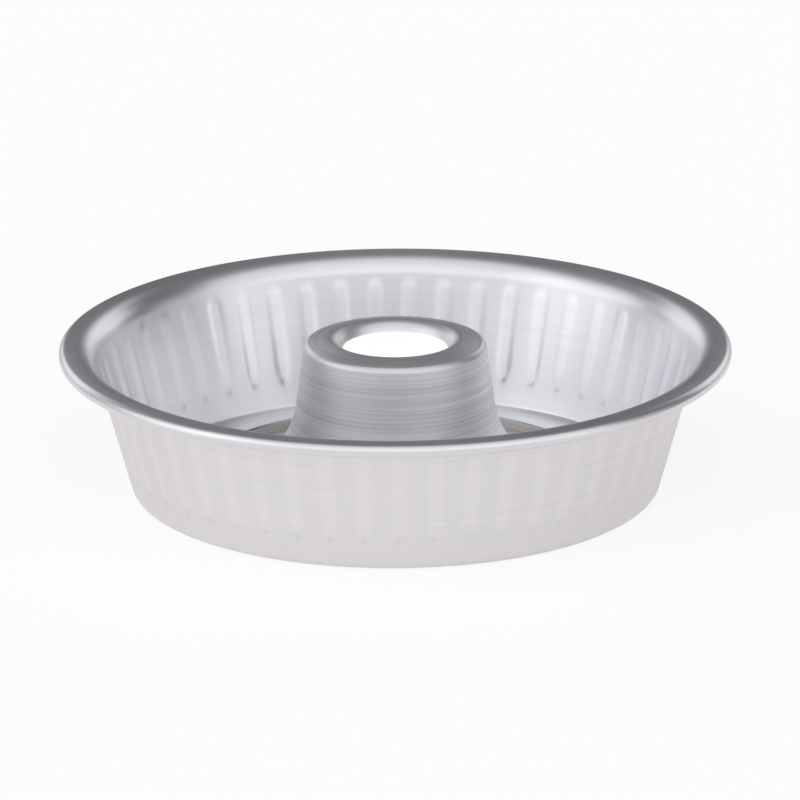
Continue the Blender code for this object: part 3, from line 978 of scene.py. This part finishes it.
def floor_material():
    """Pale floor: white to the camera, with the shadow kept in its matt part."""
    material = bpy.data.materials.new("floor_pale")
    material.use_nodes = True
    tree = material.node_tree
    tree.nodes.clear()
    path = add_node(tree, "ShaderNodeLightPath").outputs
    seen = path["Is Camera Ray"]
    mirrored = calculate(tree, "MAXIMUM", path["Is Glossy Ray"], path["Is Transmission Ray"])
    from_axis = add_node(tree, "ShaderNodeVectorMath", operation="LENGTH")
    feed(tree, add_node(tree, "ShaderNodeTexCoord").outputs["Object"], from_axis.inputs[0])
    level = ramp(
        tree, from_axis.outputs["Value"], UNDER_EDGE, UNDER_EDGE + UNDER_FADE,
        MIRRORED_GLOW_UNDER, MIRRORED_GLOW)
    level = calculate(tree, "MULTIPLY", level, mirrored)
    glow = add_node(tree, "ShaderNodeEmission")
    feed(tree, calculate(tree, "MULTIPLY_ADD", seen, SEEN_GLOW, level), glow.inputs["Strength"])
    tint = add_node(tree, "ShaderNodeMix", data_type="RGBA", blend_type="MIX")
    feed(tree, seen, tint.inputs["Factor"])
    feed(tree, MIRRORED_TINT, tint.inputs["A"])
    feed(tree, (1, 1, 1, 1), tint.inputs["B"])
    feed(tree, tint.outputs["Result"], glow.inputs["Color"])
    matt = add_node(tree, "ShaderNodeBsdfDiffuse")
    tone = add_node(tree, "ShaderNodeMix", data_type="RGBA", blend_type="MIX")
    feed(tree, seen, tone.inputs["Factor"])
    feed(tree, MATT, tone.inputs["A"])
    feed(tree, SEEN_MATT, tone.inputs["B"])
    feed(tree, tone.outputs["Result"], matt.inputs["Color"])
    both = add_node(tree, "ShaderNodeAddShader")
    feed(tree, glow.outputs[0], both.inputs[0])
    feed(tree, matt.outputs[0], both.inputs[1])
    output = add_node(tree, "ShaderNodeOutputMaterial")
    feed(tree, both.outputs[0], output.inputs["Surface"])
    return material


def build_floor(studio):
    front, side, back = studio.floor_front, studio.floor_side, studio.floor_back
    corners = [(-side, -front), (side, -front), (side, back), (-side, back)]
    mesh = bpy.data.meshes.new("floor")
    mesh.from_pydata([(x, y, -FLOOR_DROP) for x, y in corners], [], [(0, 1, 2, 3)])
    mesh.materials.append(floor_material())
    new_object("floor", mesh)


def build_camera(studio):
    camera = bpy.data.cameras.new("camera")
    camera.sensor_width = 36.0
    camera.lens = camera.sensor_width * studio.distance / studio.view_width
    obj = bpy.data.objects.new("camera", camera)
    bpy.context.scene.collection.objects.link(obj)
    back = Vector((0, -math.cos(studio.elevation), math.sin(studio.elevation)))
    obj.location = Vector(studio.aim) + back * studio.distance
    upright = Euler((math.pi / 2 - studio.elevation, 0, 0)).to_matrix()
    roll = Euler((0, 0, studio.roll)).to_matrix()
    obj.rotation_euler = (upright @ roll).to_euler()
    bpy.context.scene.camera = obj


class PanRingOperator(bpy.types.Operator):
    """Builds the fluted wall with its ledge, flange and rolled edge"""

    bl_idname = "ring_mould.pan_ring"
    bl_label = "Pan ring"

    def execute(self, context):
        scene = context.scene
        build_pan_ring(scene.mould_sizes, scene.mould_flutes, scene.mould_finish)
        return {"FINISHED"}


class RimWireOperator(bpy.types.Operator):
    """Gives the wire inside the rolled edge its finish"""

    bl_idname = "ring_mould.rim_wire"
    bl_label = "Rim wire"

    def execute(self, context):
        build_rim_wire(context.scene.mould_finish)
        return {"FINISHED"}


class BasePlateOperator(bpy.types.Operator):
    """Builds the loose plate that rests on the ledge"""

    bl_idname = "ring_mould.base_plate"
    bl_label = "Base plate"

    def execute(self, context):
        build_base_plate(context.scene.mould_sizes, context.scene.mould_finish)
        return {"FINISHED"}


class CentreTubeOperator(bpy.types.Operator):
    """Builds the tube with its rolled-in top and bell-shaped foot"""

    bl_idname = "ring_mould.centre_tube"
    bl_label = "Centre tube"

    def execute(self, context):
        build_centre_tube(context.scene.mould_sizes, context.scene.mould_finish)
        return {"FINISHED"}


class StageOperator(bpy.types.Operator):
    """Builds the light, the floor and the camera"""

    bl_idname = "ring_mould.stage"
    bl_label = "Stage"

    def execute(self, context):
        context.scene.view_settings.view_transform = "Standard"
        build_world()
        build_floor(context.scene.mould_studio)
        build_camera(context.scene.mould_studio)
        return {"FINISHED"}


class MouldPanel(bpy.types.Panel):
    """Lists the pieces of the mould and its stage"""

    bl_idname = "VIEW3D_PT_ring_mould"
    bl_label = "Ring cake mould"
    bl_space_type = "VIEW_3D"
    bl_region_type = "UI"
    bl_category = "Ring mould"

    def draw(self, context):
        for operator in OPERATORS:
            self.layout.operator(operator.bl_idname)


OPERATORS = (PanRingOperator, RimWireOperator, BasePlateOperator, CentreTubeOperator, StageOperator)
GROUPS = {
    "mould_sizes": MouldSizes,
    "mould_flutes": FluteSizes,
    "mould_finish": MouldFinish,
    "mould_studio": StudioSettings,
}


def register():
    for cls in (*GROUPS.values(), *OPERATORS, MouldPanel):
        bpy.utils.register_class(cls)
    for name, group in GROUPS.items():
        setattr(bpy.types.Scene, name, PointerProperty(type=group))


def unregister():
    for name in GROUPS:
        delattr(bpy.types.Scene, name)
    for cls in reversed((*GROUPS.values(), *OPERATORS, MouldPanel)):
        bpy.utils.unregister_class(cls)


def main():
    register()
    bpy.ops.ring_mould.pan_ring()
    bpy.ops.ring_mould.rim_wire()
    bpy.ops.ring_mould.base_plate()
    bpy.ops.ring_mould.centre_tube()
    bpy.ops.ring_mould.stage()


if __name__ == "__main__":
    main()
